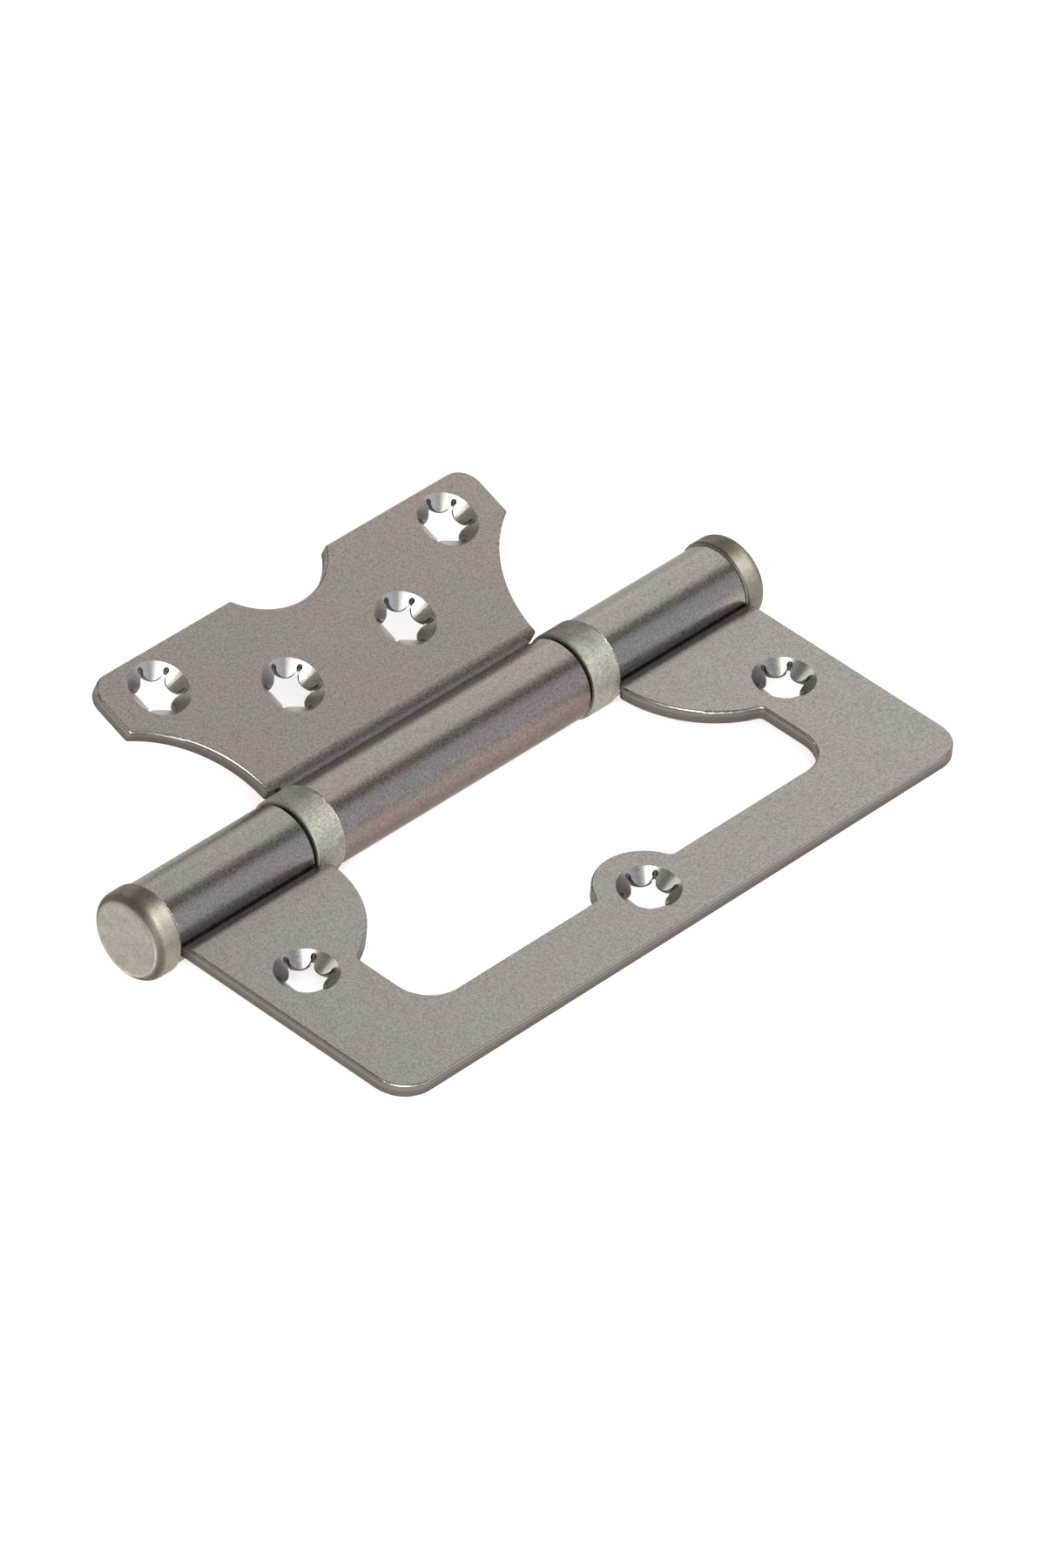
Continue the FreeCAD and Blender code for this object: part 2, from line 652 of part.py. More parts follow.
def make_balls(doc, name, place):
    """A full ring of bearing balls."""
    body = new_body(doc, name)
    body.AllowCompound = True
    ball = body.newObject("PartDesign::AdditiveSphere", name + "_ball")
    ball.AttachmentSupport = [(origin_part(body, "YZ_Plane"), "")]
    ball.MapMode = "FlatFace"
    ball.setExpression("AttachmentOffset.Base.x", "sizes.ball_distance")
    ball.setExpression("Radius", "sizes.ball_radius")
    doc.recompute()
    ring = body.newObject("PartDesign::PolarPattern", name + "_ring")
    ring.Originals = [ball]
    ring.Axis = (origin_part(body, "X_Axis"), [""])
    ring.Angle = 360
    body.Tip = ring
    ring.setExpression("Occurrences", "sizes.ball_count")
    doc.recompute()
    body.setExpression("Placement.Base.x", "sizes." + place)
    return body


# The whole hinge
def build():
    doc = FreeCAD.newDocument("butterfly_hinge")
    make_sheet(doc)
    bodies = [
        make_outer_leaf(doc),
        make_inner_leaf(doc),
        make_pin(doc),
        make_cap(doc, "near_cap", -1),
        make_cap(doc, "far_cap", 1),
        make_collar(doc, "near_collar", "near_collar_start"),
        make_collar(doc, "far_collar", "far_collar_start"),
        make_race(doc, "near_race_washer", "near_race_start"),
        make_race(doc, "far_race_washer", "far_race_start"),
        make_balls(doc, "near_bearing_balls", "near_balls_at"),
        make_balls(doc, "far_bearing_balls", "far_balls_at"),
    ]
    doc.recompute()
    for item in doc.Objects:
        if "Invalid" in item.State or "Error" in item.State:
            raise RuntimeError("%s is %s" % (item.Name, item.State))
    return doc, bodies


def main():
    doc, bodies = build()
    os.makedirs("parts", exist_ok=True)
    for body in bodies:
        if body.Shape.isNull() or not body.Shape.isValid():
            raise RuntimeError(body.Label + " has no valid shape")
        body.Shape.exportStep("parts/%s.step" % body.Label)
        box = body.Shape.BoundBox
        print("%-20s solids %2d faces %3d volume %9.2f box %s" % (
            body.Label, len(body.Shape.Solids), len(body.Shape.Faces), body.Shape.Volume,
            " ".join("%.2f" % value for value in (box.XMin, box.XMax, box.YMin, box.YMax,
                                                  box.ZMin, box.ZMax))))


main()
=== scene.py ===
# %% [markdown]
# # A butterfly door hinge in satin nickel
# This notebook dresses a finished CAD model of a door hinge. The CAD model gives every size,
# and this script gives the looks: the metal finishes, the bearing balls, the light and the
# camera. The hinge has a large leaf with a window, a smaller leaf that folds into that window,
# and a barrel of rolled knuckles with two bearing collars and two end caps.

# %% Load the hinge
import math

import bpy
from mathutils import Matrix, Vector


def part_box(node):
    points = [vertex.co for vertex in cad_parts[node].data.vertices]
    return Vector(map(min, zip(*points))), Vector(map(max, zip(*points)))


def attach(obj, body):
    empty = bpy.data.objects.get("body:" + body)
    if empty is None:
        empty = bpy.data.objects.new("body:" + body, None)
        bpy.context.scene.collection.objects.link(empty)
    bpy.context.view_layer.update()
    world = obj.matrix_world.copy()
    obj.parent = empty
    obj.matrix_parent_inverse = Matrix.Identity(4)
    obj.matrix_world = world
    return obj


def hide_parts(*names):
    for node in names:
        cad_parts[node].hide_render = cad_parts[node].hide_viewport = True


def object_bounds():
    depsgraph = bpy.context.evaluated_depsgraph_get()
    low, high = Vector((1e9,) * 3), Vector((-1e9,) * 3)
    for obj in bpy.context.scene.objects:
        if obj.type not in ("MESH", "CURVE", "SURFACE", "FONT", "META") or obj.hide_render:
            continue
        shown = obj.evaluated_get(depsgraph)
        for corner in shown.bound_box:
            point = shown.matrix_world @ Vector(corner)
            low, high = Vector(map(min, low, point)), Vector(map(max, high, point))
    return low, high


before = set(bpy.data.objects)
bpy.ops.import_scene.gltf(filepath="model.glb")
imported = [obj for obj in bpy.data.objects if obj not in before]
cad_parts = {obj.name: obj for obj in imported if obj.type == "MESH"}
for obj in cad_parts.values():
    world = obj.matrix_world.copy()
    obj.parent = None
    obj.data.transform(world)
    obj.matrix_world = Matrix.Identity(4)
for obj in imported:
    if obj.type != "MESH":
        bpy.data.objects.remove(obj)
cad_box = [list(corner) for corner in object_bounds()]
print("pieces:", ", ".join(sorted(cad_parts)))

# %% [markdown]
# ## Units and colours
# Blender works in metres and the hinge is measured in millimetres, so MM turns one into the
# other. Colours are written as the hex values a designer would use. Blender's shaders work in
# linear light, so one function converts them.

# %% Units and colours
MM = 0.001


def linear(hex_colour):
    """Turn an sRGB hex colour into linear red, green, blue and alpha."""
    channels = [int(hex_colour[i:i + 2], 16) / 255 for i in (1, 3, 5)]
    return tuple(c / 12.92 if c <= 0.04045 else ((c + 0.055) / 1.055) ** 2.4
                 for c in channels) + (1.0,)


print("mid grey in linear light:", [round(c, 3) for c in linear("#808080")[:3]])

# %% [markdown]
# ## The camera
# The hinge lies on a table and is seen from its near left corner, from about forty degrees
# above. A product photographer stands well back with a long lens, which keeps parallel edges
# nearly parallel. The same lens is used here, so both leaves keep the shape they have in the
# photograph.

# %% Camera
LENS_MM = 396.4
SENSOR_MM = 36.0
CAMERA_PLACE_MM = (-828.80, -714.04, 882.70)
CAMERA_TURN_DEG = (50.8630, -4.1433, -46.4553)
CLIP_END = 20.0

camera_data = bpy.data.cameras.new("long_lens")
camera_data.sensor_fit = "HORIZONTAL"
camera_data.sensor_width = SENSOR_MM
camera_data.lens = LENS_MM
camera_data.clip_end = CLIP_END
camera = bpy.data.objects.new("camera", camera_data)
camera.location = Vector(CAMERA_PLACE_MM) * MM
camera.rotation_euler = [math.radians(angle) for angle in CAMERA_TURN_DEG]
bpy.context.scene.collection.objects.link(camera)
bpy.context.scene.camera = camera
bpy.context.scene.view_settings.view_transform = "Standard"
print("the camera is", round(camera.location.length, 2), "m from the middle of the pin")

# %% [markdown]
# ## The room
# Satin metal shows the room more than it shows its own colour, so most of its look is light.
# The room is dim and slightly warm, which gives the dark bands along the barrel.

# %% Room
ROOM_RADIANCE = 0.23

world = bpy.data.worlds.new("dim_room")
world.use_nodes = True
room_light = world.node_tree.nodes["Background"]
room_light.inputs["Color"].default_value = linear("#ffeee6")
room_light.inputs["Strength"].default_value = ROOM_RADIANCE
bpy.context.scene.world = world
print("the room has a radiance of", ROOM_RADIANCE)


# %% [markdown]
# ## The softboxes
# A long strip behind the hinge is what the flat leaves and the top of the barrel mirror, and it
# stands a little to the far side, so the far end is paler. A wide pale wall on the left lights
# the flanks of the collars and caps. A softbox beside the lens throws its shadows straight
# back, where the hinge hides them, and one high up reaches the screw seats. The faint blue of
# a window fills the dark side of the barrel, and a wall and a softbox behind the hinge keep
# its far side from going black.

# %% A softbox
def softbox(name, direction, distance, along_pin, across_pin, radiance, hex_colour="#ffffff"):
    """A rectangular light at a distance in metres from the hinge, turned to face it.

    Its sides run along and across the pin. Its brightness is given as radiance, where 1 is
    white, because that is what a mirror would show.
    """
    data = bpy.data.lights.new(name, "AREA")
    data.shape = "RECTANGLE"
    data.size = along_pin
    data.size_y = across_pin
    data.color = linear(hex_colour)[:3]
    data.energy = radiance * math.pi * along_pin * across_pin
    lamp = bpy.data.objects.new(name, data)
    away = Vector(direction).normalized()
    across = away.cross(Vector((1, 0, 0))).normalized()
    along = across.cross(away)
    lamp.location = away * distance
    lamp.rotation_euler = Matrix((along, across, away)).transposed().to_euler()
    bpy.context.scene.collection.objects.link(lamp)
    print(name, "gives", round(data.energy, 1), "W")


# %% Set the softboxes round the hinge
softbox("far_strip", direction=(0.76, 0.368, 0.625), distance=1.5,
        along_pin=0.9, across_pin=1.67, radiance=1.36, hex_colour="#f9fbff")
softbox("far_wall", direction=(0.60, 0.79, 0.17), distance=1.7,
        along_pin=1.0, across_pin=0.6, radiance=1.0)
softbox("lens_softbox", direction=(-0.594, -0.501, 0.63), distance=1.8,
        along_pin=0.8, across_pin=0.8, radiance=10.0)
softbox("left_wall", direction=(-0.66, -0.68, 0.34), distance=1.7,
        along_pin=2.6, across_pin=1.7, radiance=2.1)
softbox("high_softbox", direction=(-0.37, -0.31, 0.87), distance=1.8,
        along_pin=0.65, across_pin=0.65, radiance=4.5)
softbox("window_fill", direction=(0.50, -0.78, 0.40), distance=1.5,
        along_pin=1.1, across_pin=1.2, radiance=0.85, hex_colour="#dde6ff")
softbox("back_fill", direction=(-0.35, 0.80, 0.49), distance=1.7,
        along_pin=0.8, across_pin=0.6, radiance=1.6)

# %% [markdown]
# ## Helpers for the finishes
# Every finish below is a small tree of nodes. One function makes a material with the values
# that are the same all over it. Another adds a node, and takes its settings and links together.
# The third turns the size of a real feature into the scale that a noise node wants, and the
# last puts hex colours on a ramp.
#
# Real plating loses light at grazing angles, where its frost shades itself. A metal shader
# doesn't know that and goes to a full mirror there, so its tint at the grazing angle is set
# below one. It keeps the back of the barrel dark, where it mirrors the raised leaf.

# %% Material helpers
GRAZING_TINT = (0.6, 0.6, 0.6, 1.0)


def new_material(name, base_hex, roughness, metallic=1.0):
    """A material and its shader, with the values that are the same all over the surface."""
    material = bpy.data.materials.new(name)
    material.use_nodes = True
    shader = material.node_tree.nodes["Principled BSDF"]
    shader.inputs["Base Color"].default_value = linear(base_hex)
    shader.inputs["Roughness"].default_value = roughness
    shader.inputs["Metallic"].default_value = metallic
    if metallic:
        shader.inputs["Specular Tint"].default_value = GRAZING_TINT
    return material, shader


def add_node(tree, kind, inputs=None, **settings):
    """Add one node. Inputs go by socket name or number; a socket as a value makes a link."""
    node = tree.nodes.new(kind)
    for key, value in settings.items():
        setattr(node, key, value)
    for key, value in (inputs or {}).items():
        if isinstance(value, bpy.types.NodeSocket):
            tree.links.new(value, node.inputs[key])
        else:
            node.inputs[key].default_value = value
    return node


def per_metre(size_mm):
    """Noise scale, in cells per metre, for a pattern with features of this size."""
    return 1 / (size_mm * MM)


def colour_stops(ramp_node, stops):
    """Put hex colours on a colour ramp, each at its position."""
    elements = ramp_node.color_ramp.elements
    while len(elements) < len(stops):
        elements.new(1.0)
    for element, (position, hex_colour) in zip(elements, stops):
        element.position = position
        element.color = linear(hex_colour)


print("a feature of 0.5 mm needs a noise scale of", round(per_metre(0.5)))

# %% [markdown]
# ## The table
# The photograph has a pure white ground with almost no shadow, even in the screw holes. That
# is how a light table looks: a plain sheet of white acrylic with a lamp under it. It glows at
# half of white, and the softboxes above it do the rest. The hinge rests on it with its two
# end caps, which are its lowest points.

# %% Table
TABLE_HALF = 3.0
TABLE_GLOW = 0.5

acrylic, acrylic_shader = new_material("lit_acrylic", "#f2efec", 0.9, metallic=0.0)
acrylic_shader.inputs["Emission Color"].default_value = linear("#fffdfb")
acrylic_shader.inputs["Emission Strength"].default_value = TABLE_GLOW
table_z = min(corner[2] for corner in cad_box)
table_mesh = bpy.data.meshes.new("white_table")
table_mesh.from_pydata([(-TABLE_HALF, -TABLE_HALF, table_z), (TABLE_HALF, -TABLE_HALF, table_z),
                        (TABLE_HALF, TABLE_HALF, table_z), (-TABLE_HALF, TABLE_HALF, table_z)],
                       [], [(0, 1, 2, 3)])
table_mesh.materials.append(acrylic)
table = bpy.data.objects.new("white_table", table_mesh)
bpy.context.scene.collection.objects.link(table)
print("the table is", round(-table_z / MM, 2), "mm below the pin's axis")

# %% [markdown]
# ## Satin nickel: the frost of the plating
# Both leaves are cold-rolled steel, pressed out, rolled and plated with dull nickel. Up close
# the plating is a fine frost of grains about a quarter of a millimetre wide, which scatter the
# light and sparkle where a softbox just misses the eye. Over that lie soft clouds some
# millimetres wide, where the nickel turns a touch olive or a touch mauve. Both are noise that
# is read at the point's own place, so it has no seam and runs on round every edge.

# %% Frost and clouds
GRAIN_MM = 0.27
CLOUD_MM = 7.0


def plated_colour(tree, place, grain, dark_hex, light_hex):
    """The plating's colour, from dark to light with the grain, under faint clouds."""
    tone = add_node(tree, "ShaderNodeValToRGB", {"Fac": grain.outputs["Fac"]})
    colour_stops(tone, [(0.31, dark_hex), (0.69, light_hex)])
    clouds = add_node(tree, "ShaderNodeTexNoise",
                      {"Vector": place.outputs["Object"], "Scale": per_metre(CLOUD_MM),
                       "Detail": 3.0, "Roughness": 0.55})
    drift = add_node(tree, "ShaderNodeValToRGB", {"Fac": clouds.outputs["Fac"]})
    colour_stops(drift, [(0.38, "#f8fbf4"), (0.62, "#fff6f6")])
    plated = add_node(tree, "ShaderNodeMix", {0: 1.0, 6: tone.outputs["Color"],
                                              7: drift.outputs["Color"]},
                      data_type="RGBA", blend_type="MULTIPLY")
    return plated.outputs[2]


print("the frost has grains of", GRAIN_MM, "mm and clouds of", CLOUD_MM, "mm")

# %% [markdown]
# ## Satin nickel: where a leaf changes
# Three places on a leaf look different: the sheared edges, the underside of a rolled knuckle
# and the pressed screw seats. They could be painted by hand, but the leaf's own frame finds
# them, so no face has to be picked. A point is on an edge where the surface faces sideways
# outside the barrel, or faces along the pin. It is on a seat where the surface slopes far from
# the barrel, because nothing else slopes there. The small leaf stands up on the pin, so its
# frame is turned level first.

# %% Masks on a leaf
BARREL_MM = 5.9
BARREL_FADE_MM = 0.2
SEAT_SLOPE = 0.64
SEAT_SPREAD = 0.22
SEAT_FROM_PIN_MM = 8.0


def edge_mask(tree, up, outside, face_axes):
    """One on the sheared edges and the ends of the knuckles."""
    sideways = add_node(tree, "ShaderNodeMapRange",
                        {"Value": up.outputs["Value"], "From Min": 0.45, "From Max": 0.2})
    rim = add_node(tree, "ShaderNodeMath",
                   {0: outside.outputs["Result"], 1: sideways.outputs["Result"]},
                   operation="MULTIPLY")
    along = add_node(tree, "ShaderNodeMath", {0: face_axes.outputs["X"]}, operation="ABSOLUTE")
    end = add_node(tree, "ShaderNodeMapRange",
                   {"Value": along.outputs["Value"], "From Min": 0.8, "From Max": 0.95})
    edge = add_node(tree, "ShaderNodeMath",
                    {0: rim.outputs["Value"], 1: end.outputs["Result"]}, operation="MAXIMUM")
    return edge.outputs["Value"]


def underside_shade_mask(tree, outside, face_axes):
    """One on the underside of a rolled knuckle, from its flank down, where shade is painted."""
    flank = add_node(tree, "ShaderNodeMapRange",
                     {"Value": face_axes.outputs["Y"], "From Min": -0.65, "From Max": -0.98})
    below = add_node(tree, "ShaderNodeMapRange",
                     {"Value": face_axes.outputs["Z"], "From Min": 0.2, "From Max": -0.1})
    lower = add_node(tree, "ShaderNodeMath",
                     {0: flank.outputs["Result"], 1: below.outputs["Result"]},
                     operation="MAXIMUM")
    inside = add_node(tree, "ShaderNodeMath", {0: 1.0, 1: outside.outputs["Result"]},
                      operation="SUBTRACT")
    under = add_node(tree, "ShaderNodeMath",
                     {0: lower.outputs["Value"], 1: inside.outputs["Value"]},
                     operation="MULTIPLY")
    return under.outputs["Value"]


def seat_mask(tree, up, away):
    """One on the cones that are pressed round the screw holes."""
    sloping = add_node(tree, "ShaderNodeMath",
                       {0: up.outputs["Value"], 1: SEAT_SLOPE, 2: SEAT_SPREAD},
                       operation="COMPARE")
    far_out = add_node(tree, "ShaderNodeMath",
                       {0: away.outputs["Value"], 1: SEAT_FROM_PIN_MM * MM},
                       operation="GREATER_THAN")
    seat = add_node(tree, "ShaderNodeMath",
                    {0: sloping.outputs["Value"], 1: far_out.outputs["Value"]},
                    operation="MULTIPLY")
    return seat.outputs["Value"]


def leaf_masks(tree, here_axes, face_axes):
    """The masks of the edges, the underside and the seats, in the frame of the leaf."""
    away = add_node(tree, "ShaderNodeMath", {0: here_axes.outputs["Y"]}, operation="ABSOLUTE")
    outside = add_node(tree, "ShaderNodeMapRange",
                       {"Value": away.outputs["Value"], "From Min": BARREL_MM * MM,
                        "From Max": (BARREL_MM + BARREL_FADE_MM) * MM})
    up = add_node(tree, "ShaderNodeMath", {0: face_axes.outputs["Z"]}, operation="ABSOLUTE")
    return (edge_mask(tree, up, outside, face_axes), underside_shade_mask(tree, outside, face_axes),
            seat_mask(tree, up, away))


print("the barrel ends", BARREL_MM, "mm from the pin, and the seats start at",
      SEAT_FROM_PIN_MM, "mm")

# %% [markdown]
# ## Satin nickel: the sheared edges
# A punch leaves two bands on the edge of a sheet: a bright burnished one below the rim and a
# torn one under it. The plating is thin there, so the edge looks browner and darker. A ramp
# over the sheet's thickness draws the bands, and a noise makes their border wavy. The punch's
# marks run through the sheet, so their noise is stretched along its thickness.

# %% Sheared edge
TEAR_MM = 0.3
TEAR_STRETCH = 0.25
TEAR_WAVE = 0.16
HALF_SHEET_MM = 0.9


def sheared_colour(tree, here, here_axes):
    """Colour of the sheared edge, in bands from the lower face up to the rim."""
    tear_place = add_node(tree, "ShaderNodeMapping",
                          {"Vector": here.outputs["Vector"],
                           "Scale": (1.0, 1.0, TEAR_STRETCH)})
    tears = add_node(tree, "ShaderNodeTexNoise",
                     {"Vector": tear_place.outputs["Vector"], "Scale": per_metre(TEAR_MM),
                      "Detail": 3.0, "Roughness": 0.6})
    height = add_node(tree, "ShaderNodeMapRange",
                      {"Value": here_axes.outputs["Z"], "From Min": -HALF_SHEET_MM * MM,
                       "From Max": HALF_SHEET_MM * MM})
    wavy = add_node(tree, "ShaderNodeMath",
                    {0: tears.outputs["Fac"], 1: TEAR_WAVE, 2: height.outputs["Result"]},
                    operation="MULTIPLY_ADD")
    bands = add_node(tree, "ShaderNodeValToRGB", {"Fac": wavy.outputs["Value"]})
    colour_stops(bands, [(0.05, "#5c5853"), (0.60, "#68645f"), (0.74, "#7c7772"),
                         (0.88, "#736e69"), (1.0, "#5d5955")])
    return bands.outputs["Color"]


print("the bands are drawn over", 2 * HALF_SHEET_MM, "mm of thickness")

# %% [markdown]
# ## Satin nickel: the whole sheet
# The finish of a leaf is laid on in layers: plating, painted shade that darkens and browns the
# underside of the roll, the sheared edges, and last the screw seats, which the press has ironed
# smooth and which are painted lighter as a painted highlight. The same grain that moves the
# colour also moves the roughness and tilts the surface, because on real frost it is one thing
# that does all three.

# %% Satin nickel sheet
SHEET_ROUGHNESS = 0.29
EDGE_ROUGHNESS = 0.42
SHEET_BUMP = 0.6
SEAT_BUMP = 0.15
GRAIN_HEIGHT_MM = 0.02
# The lighter colour of the screw seats is a painted highlight
SEAT_HIGHLIGHT_HEX = "#b5b3ae"


def satin_sheet(name, leaf_tilt, dark_hex, light_hex, underside_shade_hex):
    """Plated sheet whose edges, underside and seats are found at this tilt of the leaf."""
    material, shader = new_material(name, light_hex, SHEET_ROUGHNESS)
    tree = material.node_tree
    place = add_node(tree, "ShaderNodeTexCoord")
    grain = add_node(tree, "ShaderNodeTexNoise",
                     {"Vector": place.outputs["Object"], "Scale": per_metre(GRAIN_MM),
                      "Detail": 2.0, "Roughness": 0.7})
    # The leaf's own frame, level even when the leaf stands up
    here = add_node(tree, "ShaderNodeMapping",
                    {"Vector": place.outputs["Object"], "Rotation": (-leaf_tilt, 0.0, 0.0)},
                    vector_type="POINT")
    facing = add_node(tree, "ShaderNodeMapping",
                      {"Vector": place.outputs["Normal"], "Rotation": (-leaf_tilt, 0.0, 0.0)},
                      vector_type="NORMAL")
    here_axes = add_node(tree, "ShaderNodeSeparateXYZ", {"Vector": here.outputs["Vector"]})
    face_axes = add_node(tree, "ShaderNodeSeparateXYZ", {"Vector": facing.outputs["Vector"]})
    edge, under, seat = leaf_masks(tree, here_axes, face_axes)
    # Colour
    # The underside of the roll is painted darker and browner here: painted shade
    rolled = add_node(tree, "ShaderNodeMix",
                      {0: under, 6: plated_colour(tree, place, grain, dark_hex, light_hex),
                       7: linear(underside_shade_hex)}, data_type="RGBA", blend_type="MULTIPLY")
    worn = add_node(tree, "ShaderNodeMix",
                    {0: edge, 6: rolled.outputs[2],
                     7: sheared_colour(tree, here, here_axes)}, data_type="RGBA")
    # The seats are painted lighter, a painted highlight; their smoothing is real and lies in
    # the lower bump
    colour = add_node(tree, "ShaderNodeMix",
                      {0: seat, 6: worn.outputs[2], 7: linear(SEAT_HIGHLIGHT_HEX)}, data_type="RGBA")
    # Roughness
    frost = add_node(tree, "ShaderNodeMapRange",
                     {"Value": grain.outputs["Fac"], "From Min": 0.3, "From Max": 0.7,
                      "To Min": SHEET_ROUGHNESS - 0.04, "To Max": SHEET_ROUGHNESS + 0.04})
    rough = add_node(tree, "ShaderNodeMix",
                     {0: edge, 2: frost.outputs["Result"], 3: EDGE_ROUGHNESS})
    # Bump
    frosted = add_node(tree, "ShaderNodeMapRange",
                       {"Value": seat, "To Min": SHEET_BUMP, "To Max": SEAT_BUMP})
    bump = add_node(tree, "ShaderNodeBump",
                    {"Height": grain.outputs["Fac"], "Strength": frosted.outputs["Result"],
                     "Distance": GRAIN_HEIGHT_MM * MM})
    tree.links.new(colour.outputs[2], shader.inputs["Base Color"])
    tree.links.new(rough.outputs[0], shader.inputs["Roughness"])
    tree.links.new(bump.outputs["Normal"], shader.inputs["Normal"])
    print(name, "has", len(tree.nodes), "nodes")
    return material


# %% [markdown]
# ## Satin nickel: a finish for each leaf
# Both leaves get the same nickel, and the small one a trace more brown. Only its long knuckle
# shows its underside in the photograph, so only its underside is painted darker and browner,
# as painted shade.

# %% One finish for each leaf
LEAF_TILT = math.radians(20.2)
frame_leaf_metal = satin_sheet("satin_nickel_frame_leaf", leaf_tilt=0.0, dark_hex="#7b7874",
                               light_hex="#a8a5a0", underside_shade_hex="#ffffff")
door_leaf_metal = satin_sheet("satin_nickel_door_leaf", leaf_tilt=LEAF_TILT,
                              dark_hex="#7a7670", light_hex="#a8a29c", underside_shade_hex="#cec1bf")

# %% [markdown]
# ## Satin nickel on turned parts
# The collars and caps are turned on a lathe before they are plated. The tool leaves rings
# round the axis, too fine to see one by one, and they stretch each highlight along the pin.
# That is why a collar is bright on its flank, where the barrel beside it is dark. The shader's
# anisotropy does this: its tangent points along the pin, with a small lean that gives the flat
# end of a cap one even direction too. The ridges are saw teeth, as a tool fed from one end
# leaves them, so the side leans a little towards the near end.
#
# On the flat end of a cap the rings lie round its middle. They are drawn two millimetres apart,
# far coarser than the real feed of the tool, so that they show at all. The side and the rounded
# shoulder of a cap are painted darker than its flat end, as painted shade. The side is also
# smoother than the flat end, and shows the dark room as the barrel does.

# %% Turned nickel
RING_MM = 2.0735
WAVE_RINGS = 20 / (2 * math.pi)
STAIN_MM = 2.0
RIDGE_LEAN = -0.35
TURNED_ROUGHNESS = 0.85
TURNED_ANISOTROPY = 0.8
TURNED_BUMP = 0.45


def turned_colour(tree, place, grain, along, dark_hex, light_hex, painted_shade_stops):
    """Colour of turned nickel: grain and stains, times the painted shade from its side to its
    end.
    """
    stains = add_node(tree, "ShaderNodeTexNoise",
                      {"Vector": place.outputs["Object"], "Scale": per_metre(STAIN_MM),
                       "Detail": 3.0, "Roughness": 0.6})
    mixed = add_node(tree, "ShaderNodeMath",
                     {0: stains.outputs["Fac"], 1: 0.5, 2: grain.outputs["Fac"]},
                     operation="MULTIPLY_ADD")
    tone = add_node(tree, "ShaderNodeMapRange",
                    {"Value": mixed.outputs["Value"], "From Min": 0.55, "From Max": 0.95})
    colour = add_node(tree, "ShaderNodeMix",
                      {0: tone.outputs["Result"], 6: linear(dark_hex), 7: linear(light_hex)},
                      data_type="RGBA")
    # This ramp paints shade over the turn from the side to the flat end
    turn = add_node(tree, "ShaderNodeValToRGB", {"Fac": along.outputs["Value"]})
    colour_stops(turn, painted_shade_stops)
    shaped = add_node(tree, "ShaderNodeMix", {0: 1.0, 6: colour.outputs[2],
                                              7: turn.outputs["Color"]},
                      data_type="RGBA", blend_type="MULTIPLY")
    return shaped.outputs[2]


def ridged_normal(tree, place, grain):
    """The surface's normal, leant by the ridges and bumped by the rings and the grain."""
    rings = add_node(tree, "ShaderNodeTexWave",
                     {"Vector": place.outputs["Object"],
                      "Scale": per_metre(RING_MM) / WAVE_RINGS,
                      "Distortion": 1.5, "Detail": 2.0, "Detail Scale": 40.0},
                     wave_type="RINGS", rings_direction="X")
    fine = add_node(tree, "ShaderNodeMath",
                    {0: rings.outputs["Fac"], 1: 0.25, 2: grain.outputs["Fac"]},
                    operation="MULTIPLY_ADD")
    smooth = add_node(tree, "ShaderNodeNewGeometry")
    leaning = add_node(tree, "ShaderNodeVectorMath",
                       {0: smooth.outputs["Normal"], 1: (RIDGE_LEAN, 0.0, 0.0)},
                       operation="ADD")
    ridges = add_node(tree, "ShaderNodeVectorMath", {0: leaning.outputs["Vector"]},
                      operation="NORMALIZE")
    bump = add_node(tree, "ShaderNodeBump",
                    {"Height": fine.outputs["Value"], "Strength": TURNED_BUMP,
                     "Distance": GRAIN_HEIGHT_MM * MM, "Normal": ridges.outputs["Vector"]})
    return bump.outputs["Normal"]


print("the ridges lean", round(math.degrees(math.atan(-RIDGE_LEAN))),
      "degrees, and the rings are", round(RING_MM, 1), "mm apart")


# %% Put the turned finish together
def turned_nickel(name, dark_hex, light_hex, painted_shade_stops, side_roughness):
    """Plated turned metal, with grain, faint stains and the rings that the tool left."""
    material, shader = new_material(name, light_hex, TURNED_ROUGHNESS)
    shader.inputs["Anisotropic"].default_value = TURNED_ANISOTROPY
    tree = material.node_tree
    along_pin = add_node(tree, "ShaderNodeCombineXYZ", {"X": 1.0, "Y": 0.15, "Z": 0.10})
    place = add_node(tree, "ShaderNodeTexCoord")
    grain = add_node(tree, "ShaderNodeTexNoise",
                     {"Vector": place.outputs["Object"], "Scale": per_metre(GRAIN_MM),
                      "Detail": 2.0, "Roughness": 0.7})
    # How far the surface turns from the side, at zero, towards the flat end, at one
    axes = add_node(tree, "ShaderNodeSeparateXYZ", {"Vector": place.outputs["Normal"]})
    along = add_node(tree, "ShaderNodeMath", {0: axes.outputs["X"]}, operation="ABSOLUTE")
    polish = add_node(tree, "ShaderNodeMapRange",
                      {"Value": along.outputs["Value"], "From Min": 0.3, "From Max": 0.9,
                       "To Min": side_roughness, "To Max": TURNED_ROUGHNESS})
    tree.links.new(along_pin.outputs["Vector"], shader.inputs["Tangent"])
    tree.links.new(turned_colour(tree, place, grain, along, dark_hex, light_hex, painted_shade_stops),
                   shader.inputs["Base Color"])
    tree.links.new(polish.outputs["Result"], shader.inputs["Roughness"])
    tree.links.new(ridged_normal(tree, place, grain), shader.inputs["Normal"])
    print(name, "has", len(tree.nodes), "nodes")
    return material


collar_metal = turned_nickel("satin_nickel_collar", dark_hex="#9b9890", light_hex="#c9c6bc",
                             painted_shade_stops=[(0.0, "#ffffff"), (1.0, "#ffffff")],
                             side_roughness=TURNED_ROUGHNESS)
